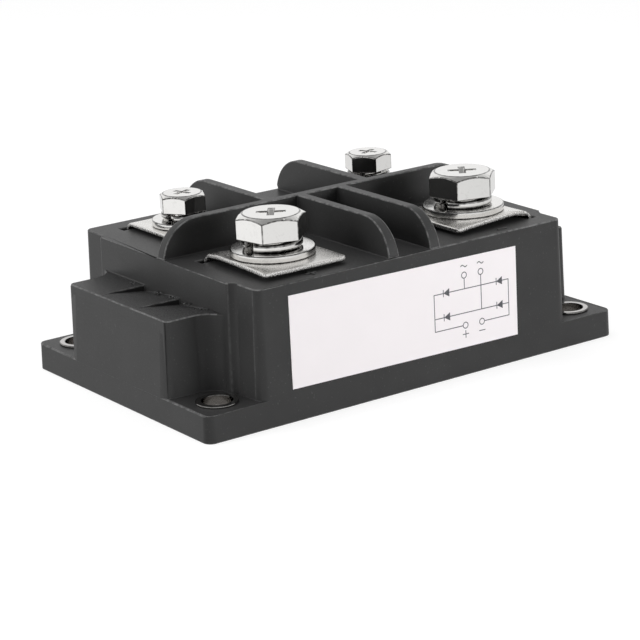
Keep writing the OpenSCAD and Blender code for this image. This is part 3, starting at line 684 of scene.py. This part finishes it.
    def raise_signs(self, bm):
        """The plus and minus signs moulded proud of the deck before their terminals."""
        length, width, height = self.SIGN_HALF, self.SIGN_LINE, self.SIGN_HEIGHT
        for name, (x, y) in self.SIGNS:
            bars = ((length, width, height), (width, length, height))
            for half in bars if name == "plus" else bars[:1]:
                bar = bmesh.ops.create_cube(bm, size=2 * MM)["verts"]
                bmesh.ops.scale(bm, vec=half, verts=bar)
                bmesh.ops.translate(bm, vec=(x * MM, y * MM, self.DECK * MM), verts=bar)
                edges = {edge for vert in bar for edge in vert.link_edges}
                bmesh.ops.bevel(bm, geom=list(edges), offset=self.SIGN_EDGE * MM,
                                offset_type="OFFSET", segments=2, profile=0.5, affect="EDGES",
                                clamp_overlap=True, material=-1)

    def blend_end(self, bm, side):
        """Brings a ledge's end wall flush with the flange's end, so that no step shows between."""
        foot = self.FLANGE_TOP - self.BLEND_SINK
        inner = [(self.END_WALL, y, foot) for y, _ in self.END_BLEND]
        outer = [(self.END_WALL + proud, y, foot) for y, proud in self.END_BLEND]
        upper = [(self.END_WALL_TOP, y, self.LEDGE_TOP) for y, _ in self.END_BLEND]
        rows = [[bm.verts.new(Vector((side * x, y, z)) * MM) for x, y, z in row]
                for row in (inner, outer, upper)]
        # the faces point outwards at the right end, so at the left end they are turned round
        faces = [bm.faces.new(corners)
                 for a, b in zip(rows, rows[1:] + rows[:1])
                 for corners in zip(a, a[1:], b[1:], b)]
        if side < 0:
            bmesh.ops.reverse_faces(bm, faces=faces)

    def mark_body_corners(self, bm):
        """Marks the narrow facets up the corners of the body, which handling has rubbed, with wear
        and a painted highlight, and the end walls' rounded corners with a painted highlight.
        """
        layer = bm.faces.layers.float[ARRIS]
        for face in bm.faces:
            low, high = span(vert.co.z / MM for vert in face.verts)
            middle = face.calc_center_median() / MM
            x, y, facing = abs(middle.x), abs(middle.y), abs(face.normal.y)
            if high - low <= self.TALL or face.normal.x * middle.x <= 0:
                continue
            if (x > self.BODY_CORNER[0] and y > self.BODY_CORNER[1]
                    and within(facing, self.BODY_FACING)):
                face[layer] = self.BODY_WEAR
            # the rounded corners of the end walls, beside the fillets, get a softer painted
            # highlight
            if (within(x, self.WALL_X) and within(y, self.WALL_Y)
                    and within(facing, self.WALL_FACING)):
                face[layer] = self.WALL_WEAR

    def mark_rough(self, bm):
        """Marks the end ledges' upper faces as rough; where they meet the wall the edges get no
        wear and no painted highlight.
        """
        arris, rough = (bm.faces.layers.float[name] for name in (ARRIS, ROUGH))
        wall, sideways = self.LEDGE_X[0], self.INNER_CORNER[1]
        for face in bm.faces:
            middle = face.calc_center_median() / MM
            x, y = abs(middle.x), abs(middle.y)
            if not within(middle.z, self.LEDGE_Z):
                continue
            # no wear and no painted highlight along the foot of the wall
            if within(x, (wall - 0.3, wall + 0.5)) and y < sideways - 2:
                face[arris] = 0.0
            if within(x, self.LEDGE_X) and y < sideways and face.normal.z > 0.6:
                face[rough] = 1.0


class RECTIFIER_OT_base(bpy.types.Operator):
    """Baseplate under the housing, and the eyelets that line its mounting holes"""

    bl_idname = "rectifier.base"
    bl_label = "Baseplate and eyelets"

    def execute(self, context):
        settings = context.scene.rectifier.metal
        ground = ground_nickel()
        tube = bright_nickel("Bright nickel on drawn tube", settings.eyelet_colour, (0.06, 0.12))
        dressed_copy("baseplate", "Nickel_baseplate", ground,
                     settings.plate_edge)
        for corner in CORNERS:
            dressed_copy(f"eyelet_{corner}", f"Eyelet_{corner}", tube,
                         settings.eyelet_edge)
        return {"FINISHED"}


class RECTIFIER_OT_straps(bpy.types.Operator):
    """Folded terminal straps with rounded, sheared edges"""

    bl_idname = "rectifier.straps"
    bl_label = "Straps"

    # the bends turn in short faces, whose edges aren't rounded
    BEND_ANGLE = math.radians(40)
    # How far the loose edges stand off the deck, in millimetres, along the strap's edge from the
    # bolt's axis: in y for the plus strap's left edge, in x for the minus strap's front edge
    LEFT_LIFT = ((-13.1, 0.1), (-7.5, 0.35), (-4.0, 0.45), (-0.3, 0.66), (4.5, 0.58), (8.0, 0.3),
                 (10.5, 0.0))
    FRONT_LIFT = ((-10.4, 0.0), (-8.2, 0.2), (-2.2, 0.4), (1.8, 0.52), (4.8, 0.56), (9.8, 0.0))
    # from the bolt's axis to where each lift begins, and across how much it grows to its full
    LEFT_FROM, LEFT_GROWTH = 4.5, 5
    FRONT_FROM, FRONT_GROWTH = 5, 6
    # the washer clamps the strap flat out to this radius, and past it the strap comes free
    CLAMPED, CLAMPED_GROWTH = 9.3, 2.2
    # only the strap's flat top is bowed, in steps of this length
    FLAT_THICKNESS, STEP = 1.3, 1.6

    def execute(self, context):
        settings = context.scene.rectifier.metal
        material = satin_nickel_sheet(settings)
        for terminal in TERMINALS:
            dressed_copy(f"strap_{terminal}", f"Folded_strap_{terminal}",
                         material, settings.strap_edge, self.BEND_ANGLE,
                         shape=lambda bm: self.bow(bm, terminal))
        return {"FINISHED"}

    def bow(self, bm, terminal):
        """Bows the DC straps' free edges up from the deck, outside the clamped ring."""
        if terminal not in DC_TERMINALS:
            return
        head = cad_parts[f"bolt_{terminal}"].data.vertices
        axis = [sum(span(v.co[k] for v in head)) / 2 for k in (0, 1)]
        self.cut_in_steps(bm)
        top = max(v.co.z for v in bm.verts)
        for vert in bm.verts:
            if vert.co.z < top - self.FLAT_THICKNESS * MM:
                continue
            x, y = ((vert.co[k] - axis[k]) / MM for k in (0, 1))
            free = smooth((math.hypot(x, y) - self.CLAMPED) / self.CLAMPED_GROWTH)
            if terminal == "plus":
                lift = interpolate(self.LEFT_LIFT, y)
                growth = smooth((-x - self.LEFT_FROM) / self.LEFT_GROWTH)
            else:
                lift = interpolate(self.FRONT_LIFT, x)
                growth = smooth((-y - self.FRONT_FROM) / self.FRONT_GROWTH)
            vert.co.z += lift * growth * free * MM

    def cut_in_steps(self, bm):
        """Cuts the strap across and along, so that it can bend."""
        for axis, normal in enumerate((Vector((1, 0, 0)), Vector((0, 1, 0)))):
            low, high = span(v.co[axis] for v in bm.verts)
            count = int((high - low) / (self.STEP * MM))
            for k in range(1, count + 1):
                point = normal * (low + (high - low) * k / (count + 1))
                bmesh.ops.bisect_plane(bm, geom=bm.verts[:] + bm.edges[:] + bm.faces[:],
                                       dist=0.001 * MM, plane_co=point, plane_no=normal)


class RECTIFIER_OT_fasteners(bpy.types.Operator):
    """Bolts, spring washers, flat washers and nuts of the terminals"""

    bl_idname = "rectifier.fasteners"
    bl_label = "Bolts, washers and nuts"

    # the chamfers on the hexagons are shallow, and the washers' wire turns in short faces
    HEX_ANGLE, WIRE_ANGLE = math.radians(20), math.radians(40)

    def execute(self, context):
        settings = context.scene.rectifier.metal
        bright = bright_nickel("Bright nickel plate", settings.fastener_colour)
        drawn = bright_nickel("Bright nickel on drawn wire", settings.fastener_colour, (0.1, 0.2))
        for terminal in TERMINALS:
            dressed_copy(f"bolt_{terminal}", f"Hex_bolt_{terminal}", bright,
                         settings.head_edge, self.HEX_ANGLE)
            dressed_copy(f"spring_washer_{terminal}", f"Split_washer_{terminal}",
                         drawn, settings.spring_edge, self.WIRE_ANGLE, segments=3)
            dressed_copy(f"flat_washer_{terminal}", f"Plain_washer_{terminal}",
                         drawn, settings.washer_edge)
            dressed_copy(f"nut_{terminal}", f"Hex_nut_{terminal}", drawn,
                         settings.head_edge, self.HEX_ANGLE)
        return {"FINISHED"}


class RECTIFIER_OT_label(bpy.types.Operator):
    """Label film with its printed bridge diagram"""

    bl_idname = "rectifier.label"
    bl_label = "Label"

    # The diagram in millimetres from the label's lower left corner
    LEFT_BUS, RIGHT_BUS = 37.0, 57.2
    UPPER_ROW, LOWER_ROW, BOTTOM_ROW = 12.9, 7.6, 4.85
    RING_LEFT, RING_RIGHT, RING_TOP = 45.2, 49.7, 15.9
    DIODES_AT = (39.5, 53.9)
    DIODE_LENGTH, DIODE_HALF, BAR_HALF = 1.6, 0.92, 0.68
    # the signs' row and half length, the waves' row, half length and rise, and the short
    # strokes that a wave is drawn in
    SIGN_ROW, SIGN_HALF = 2.9, 0.75
    WAVE_ROW, WAVE_HALF, WAVE_RISE, WAVE_STEPS = 17.9, 0.8, 0.22, 12
    # the short faces round a ring, and the radius on the film's cut edges
    RING_STEPS, FILM_EDGE = 28, 0.03

    def execute(self, context):
        settings = context.scene.rectifier.label
        dressed_copy("label", "Label_film", label_film(settings),
                     self.FILM_EDGE * MM)
        bm = bmesh.new()
        self.draw_circuit(bm, settings)
        self.draw_signs(bm, settings)
        # the spun rings come inside out
        bmesh.ops.recalc_face_normals(bm, faces=bm.faces)
        bmesh.ops.transform(bm, matrix=self.label_frame(), verts=bm.verts)
        ink = finish_mesh(bm, "Printed_diagram")
        ink.data.materials.append(printing_ink(settings))
        return {"FINISHED"}

    def label_frame(self):
        """Places the diagram, drawn flat from its lower left corner, on the film's outer face."""
        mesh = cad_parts["label"].data
        corners = [v.co.copy() for v in mesh.vertices]
        out = min((p.normal for p in mesh.polygons), key=lambda n: n.y).normalized()
        reach = max(v.dot(out) for v in corners)
        face = [v for v in corners if v.dot(out) > reach - 0.01 * MM]
        lower_left = min(face, key=lambda v: v.x + v.z)
        lower_right = min(face, key=lambda v: v.z - v.x)
        along = (lower_right - lower_left).normalized()
        up = out.cross(along)
        turn = Matrix((along, up, out)).transposed().to_4x4()
        return Matrix.Translation(lower_left) @ turn

    def stroke(self, bm, start, end, width, height):
        """A straight printed line from start to end."""
        (x0, y0), (x1, y1) = start, end
        length = math.hypot(x1 - x0, y1 - y0) * MM + width
        bar = bmesh.ops.create_cube(bm, size=1.0)["verts"]
        turn = Matrix.Rotation(math.atan2(y1 - y0, x1 - x0), 4, "Z")
        middle = Vector(((x0 + x1) / 2 * MM, (y0 + y1) / 2 * MM, height / 2))
        bmesh.ops.scale(bm, vec=(length, width, height), verts=bar)
        bmesh.ops.transform(bm, matrix=Matrix.Translation(middle) @ turn, verts=bar)

    def ring(self, bm, centre, radius, width, height):
        """A printed circle, spun from its square section."""
        middle = Vector((centre[0] * MM, centre[1] * MM, 0))
        section = [bm.verts.new(middle + Vector((radius + a, 0, b)))
                   for a, b in ((-width / 2, 0), (width / 2, 0),
                                (width / 2, height), (-width / 2, height))]
        edges = [bm.edges.new((section[i], section[(i + 1) % 4])) for i in range(4)]
        bmesh.ops.spin(bm, geom=section + edges, cent=middle, axis=(0, 0, 1),
                       angle=math.tau, steps=self.RING_STEPS, use_merge=True)

    def diode(self, bm, tip, row, settings):
        """A filled triangle that points left, with the bar at its tip."""
        width, height = settings.line_width, settings.ink_height
        # a three-sided prism of depth 1, turned to point left, then brought to size
        base = bmesh.ops.create_cone(bm, cap_ends=True, segments=3, radius1=1, radius2=1,
                                     depth=1)["verts"]
        bmesh.ops.rotate(bm, cent=(0, 0, 0), matrix=Matrix.Rotation(math.radians(90), 3, "Z"),
                         verts=base)
        left, right = span(v.co.x for v in base)
        half = max(v.co.y for v in base)
        bmesh.ops.translate(bm, vec=(-left, 0, 0.5), verts=base)
        bmesh.ops.scale(bm, verts=base, vec=(self.DIODE_LENGTH * MM / (right - left),
                                             self.DIODE_HALF * MM / half, height))
        bmesh.ops.translate(bm, vec=(tip * MM, row * MM, 0), verts=base)
        self.stroke(bm, (tip, row - self.BAR_HALF), (tip, row + self.BAR_HALF), width, height)

    def draw_circuit(self, bm, settings):
        """The bridge: two rows of diodes between two buses, and the four terminal rings."""
        width, height = settings.line_width, settings.ink_height
        ring = settings.ring_radius / MM
        lines = (
            ((self.LEFT_BUS, self.BOTTOM_ROW), (self.LEFT_BUS, self.UPPER_ROW)),
            ((self.RIGHT_BUS, self.BOTTOM_ROW), (self.RIGHT_BUS, self.UPPER_ROW)),
            ((self.LEFT_BUS, self.UPPER_ROW), (self.RIGHT_BUS, self.UPPER_ROW)),
            ((self.LEFT_BUS, self.LOWER_ROW), (self.RIGHT_BUS, self.LOWER_ROW)),
            ((self.LEFT_BUS, self.BOTTOM_ROW), (self.RING_LEFT - ring, self.BOTTOM_ROW)),
            ((self.RING_RIGHT + ring, self.BOTTOM_ROW), (self.RIGHT_BUS, self.BOTTOM_ROW)),
            ((self.RING_LEFT, self.UPPER_ROW), (self.RING_LEFT, self.RING_TOP - ring)),
            ((self.RING_RIGHT, self.LOWER_ROW), (self.RING_RIGHT, self.RING_TOP - ring)),
        )
        for start, end in lines:
            self.stroke(bm, start, end, width, height)
        for centre in ((self.RING_LEFT, self.BOTTOM_ROW), (self.RING_RIGHT, self.BOTTOM_ROW),
                       (self.RING_LEFT, self.RING_TOP), (self.RING_RIGHT, self.RING_TOP)):
            self.ring(bm, centre, settings.ring_radius, width, height)
        for tip in self.DIODES_AT:
            for row in (self.UPPER_ROW, self.LOWER_ROW):
                self.diode(bm, tip, row, settings)

    def draw_signs(self, bm, settings):
        """Plus, minus and the two waves beside the rings."""
        width, height = settings.line_width, settings.ink_height
        plus, minus, row, half = self.RING_LEFT, self.RING_RIGHT, self.SIGN_ROW, self.SIGN_HALF
        for start, end in (((plus - half, row), (plus + half, row)),
                           ((plus, row - half), (plus, row + half)),
                           ((minus - half, row), (minus + half, row))):
            self.stroke(bm, start, end, width, height)
        for centre in (self.RING_LEFT, self.RING_RIGHT):
            path = [(centre - self.WAVE_HALF + 2 * self.WAVE_HALF * k / self.WAVE_STEPS,
                     self.WAVE_ROW + self.WAVE_RISE * math.sin(math.tau * k / self.WAVE_STEPS))
                    for k in range(self.WAVE_STEPS + 1)]
            for start, end in zip(path, path[1:]):
                self.stroke(bm, start, end, width, height)


class RECTIFIER_OT_insides(bpy.types.Operator):
    """Ceramics, copper, molybdenum, chips, gel and resin inside the housing"""

    bl_idname = "rectifier.insides"
    bl_label = "Insides"

    def execute(self, context):
        # dense fired ceramic: matt and chalk white, in patches of about 1.2 mm
        alumina = plain_solid("Alumina", "#dedbd2", "#f0eee8", 1.2, (0.5, 0.65), 0.01)
        # rolled copper, a little dulled by handling
        copper = plain_solid("Copper sheet", "#a9653a", "#c98450", 2.5, (0.25, 0.45), 0.01,
                             Metallic=1.0)
        # sintered and lapped: a grey metal of fine patches
        molybdenum = plain_solid("Molybdenum", "#7d8085", "#96999e", 0.8, (0.35, 0.5), 0.01,
                                 Metallic=1.0)
        # a polished wafer: dark, smooth and half metallic to the eye
        silicon = plain_solid("Silicon", "#2c313b", "#3d4350", 3, (0.12, 0.2), 0.002,
                              Metallic=0.6)
        # poured soft and clear
        gel = plain_solid("Silicone gel", "#d5dee4", "#e2e9ed", 6, (0.05, 0.12), 0.02,
                          IOR=1.41, Transmission_Weight=0.9)
        # poured black epoxy with a slight skin
        resin = plain_solid("Casting resin", "#19191b", "#262628", 4, (0.2, 0.35), 0.03)
        for name in DC_TERMINALS:
            paint(f"ceramic_{name}", alumina)
            paint(f"pad_{name}", copper)
        for number in range(1, 5):
            paint(f"chip_{number}", silicon)
            paint(f"lower_disc_{number}", molybdenum)
            paint(f"upper_disc_{number}", molybdenum)
        for name in ("left", "right"):
            paint(f"bar_ac_{name}", copper)
        paint("gel", gel)
        paint("resin", resin)
        return {"FINISHED"}


# ---- stage ----


class RECTIFIER_OT_stage(bpy.types.Operator):
    """White floor and world, soft lamps and the camera"""

    bl_idname = "rectifier.stage"
    bl_label = "Stage"

    # Lengths here are in metres.
    FLOOR_HALF = 3.0
    # across which of x the floor falls off in reflections, and how steep a line of sight has to
    # be, as its rise, for the room to darken
    FALL_X, OVERHEAD = (-0.14, 0.06), (0.55, 0.95)
    # name, place, size and power in watts
    LAMPS = (("Overhead softbox", (-0.1, 0.2, 0.9), 0.7, 4.0),
             ("Left softbox", (-0.8, 0.2, 0.25), 0.6, 4.7),
             ("Front softbox", (0.45, -0.85, 0.1), 0.5, 11.7))
    LAMP_TARGET = Vector((0, 0, 0.02))
    CAMERA_TARGET = Vector((-15.270, -20.178, 15.0)) * MM
    CLIP = (0.01, 20)

    def execute(self, context):
        settings = context.scene.rectifier.stage
        self.white_floor(settings)
        self.white_world(context.scene, settings)
        self.soft_lamps()
        self.place_camera(context.scene, settings)
        context.scene.view_settings.view_transform = "Standard"
        return {"FINISHED"}

    def seen(self, tree):
        """1 where the camera looks, straight or in a reflection or through a clear part."""
        path = add_node(tree, "LightPath").outputs
        straight = add_node(tree, "Math", (path["Is Camera Ray"], path["Is Glossy Ray"]),
                            operation="MAXIMUM")
        return add_node(tree, "Math", (straight, path["Is Transmission Ray"]),
                        operation="MAXIMUM")

    def white_floor(self, settings):
        """A floor that shows white to the camera, a little less in reflections, and takes a
        faint shadow."""
        bm = bmesh.new()
        bmesh.ops.create_grid(bm, x_segments=1, y_segments=1, size=self.FLOOR_HALF)
        mesh = bpy.data.meshes.new("Floor")
        bm.to_mesh(mesh)
        bm.free()
        floor = bpy.data.objects.new("Floor", mesh)
        bpy.context.scene.collection.objects.link(floor)
        material = bpy.data.materials.new("White sweep")
        material.use_nodes = True
        tree = material.node_tree
        tree.nodes.clear()
        matt = add_node(tree, "BsdfDiffuse", {"Color": rgba(settings.floor_colour)})
        # reflections see the sweep fall off to the right, away from the lamps
        place = add_node(tree, "TexCoord").outputs["Object"]
        along = add_node(tree, "SeparateXYZ", {"Vector": place}).outputs["X"]
        glossy = add_node(tree, "LightPath").outputs["Is Glossy Ray"]
        right = add_node(tree, "MapRange", (along, *self.FALL_X, 0, 1))
        fall = add_node(tree, "Math", (glossy, right), operation="MULTIPLY")
        strength = add_node(tree, "Math", (
            add_node(tree, "MapRange", (self.seen(tree), 0, 1, 0, settings.floor_glow)),
            add_node(tree, "MapRange", (fall, 0, 1, 1.0, settings.floor_fall))),
            operation="MULTIPLY")
        glow = add_node(tree, "Emission", {"Color": rgba(settings.white), "Strength": strength})
        add_node(tree, "OutputMaterial", {"Surface": add_node(tree, "AddShader", (matt, glow))})
        mesh.materials.append(material)

    def white_world(self, scene, settings):
        """A world that shows white and lights the part softly."""
        world = bpy.data.worlds.new("White room")
        world.use_nodes = True
        scene.world = world
        tree = world.node_tree
        tree.nodes.clear()
        # in reflections the room darkens overhead, which draws the edges of bright metal
        heading = add_node(tree, "TexCoord").outputs["Generated"]
        height = add_node(tree, "SeparateXYZ", {"Vector": heading}).outputs["Z"]
        overhead = add_node(tree, "MapRange", (height, *self.OVERHEAD, 0, 1))
        glossy = add_node(tree, "LightPath").outputs["Is Glossy Ray"]
        dark = add_node(tree, "Math", (glossy, overhead), operation="MULTIPLY")
        strength = add_node(tree, "Math", (
            add_node(tree, "MapRange", (self.seen(tree), 0, 1, settings.room_light, 1.0)),
            add_node(tree, "MapRange", (dark, 0, 1, 1.0, settings.ceiling))),
            operation="MULTIPLY")
        glow = add_node(tree, "Background", {"Color": rgba(settings.white),
                                             "Strength": strength})
        add_node(tree, "OutputWorld", {"Surface": glow})

    def soft_lamps(self):
        """A wide lamp overhead and one from the left and the front, hidden from reflections."""
        for name, place, size, power in self.LAMPS:
            lamp = bpy.data.lights.new(name, "AREA")
            lamp.shape = "SQUARE"
            lamp.size = size
            lamp.energy = power
            stand = bpy.data.objects.new(name, lamp)
            stand.visible_glossy = False
            bpy.context.scene.collection.objects.link(stand)
            stand.location = place
            heading = self.LAMP_TARGET - Vector(place)
            stand.rotation_euler = heading.to_track_quat("-Z", "Y").to_euler()

    def place_camera(self, scene, settings):
        """The camera looks at the part from its left front, a little above."""
        back = Vector((math.sin(settings.azimuth) * math.cos(settings.elevation),
                       -math.cos(settings.azimuth) * math.cos(settings.elevation),
                       math.sin(settings.elevation)))
        camera = bpy.data.objects.new("Camera", bpy.data.cameras.new("Camera"))
        scene.collection.objects.link(camera)
        camera.data.lens = settings.lens
        camera.data.clip_start, camera.data.clip_end = self.CLIP
        turn = ((-back).to_track_quat("-Z", "Y").to_matrix()
                @ Matrix.Rotation(settings.roll, 3, "Z"))
        place = Matrix.Translation(self.CAMERA_TARGET + back * settings.distance)
        camera.matrix_world = place @ turn.to_4x4()
        scene.camera = camera


class RECTIFIER_PT_panel(bpy.types.Panel):
    """Lists the pieces in the 3D view's sidebar"""

    bl_idname = "RECTIFIER_PT_panel"
    bl_label = "Bridge rectifier"
    bl_space_type = "VIEW_3D"
    bl_region_type = "UI"
    bl_category = "Rectifier"

    def draw(self, context):
        settings = context.scene.rectifier
        for group in (settings.housing, settings.metal, settings.label, settings.stage):
            box = self.layout.box()
            for name in group.__annotations__:
                box.prop(group, name)
        for operator in OPERATORS:
            self.layout.operator(operator.bl_idname)


OPERATORS = (
    RECTIFIER_OT_housing, RECTIFIER_OT_base, RECTIFIER_OT_straps, RECTIFIER_OT_fasteners,
    RECTIFIER_OT_label, RECTIFIER_OT_insides, RECTIFIER_OT_stage)
CLASSES = (HousingSettings, MetalSettings, LabelSettings, StageSettings, RectifierSettings,
           *OPERATORS, RECTIFIER_PT_panel)


def register():
    for cls in CLASSES:
        bpy.utils.register_class(cls)
    bpy.types.Scene.rectifier = PointerProperty(type=RectifierSettings)


def unregister():
    del bpy.types.Scene.rectifier
    for cls in reversed(CLASSES):
        bpy.utils.unregister_class(cls)


def main():
    register()
    bpy.ops.rectifier.housing()
    bpy.ops.rectifier.base()
    bpy.ops.rectifier.straps()
    bpy.ops.rectifier.fasteners()
    bpy.ops.rectifier.label()
    bpy.ops.rectifier.insides()
    bpy.ops.rectifier.stage()


if __name__ == "__main__":
    main()
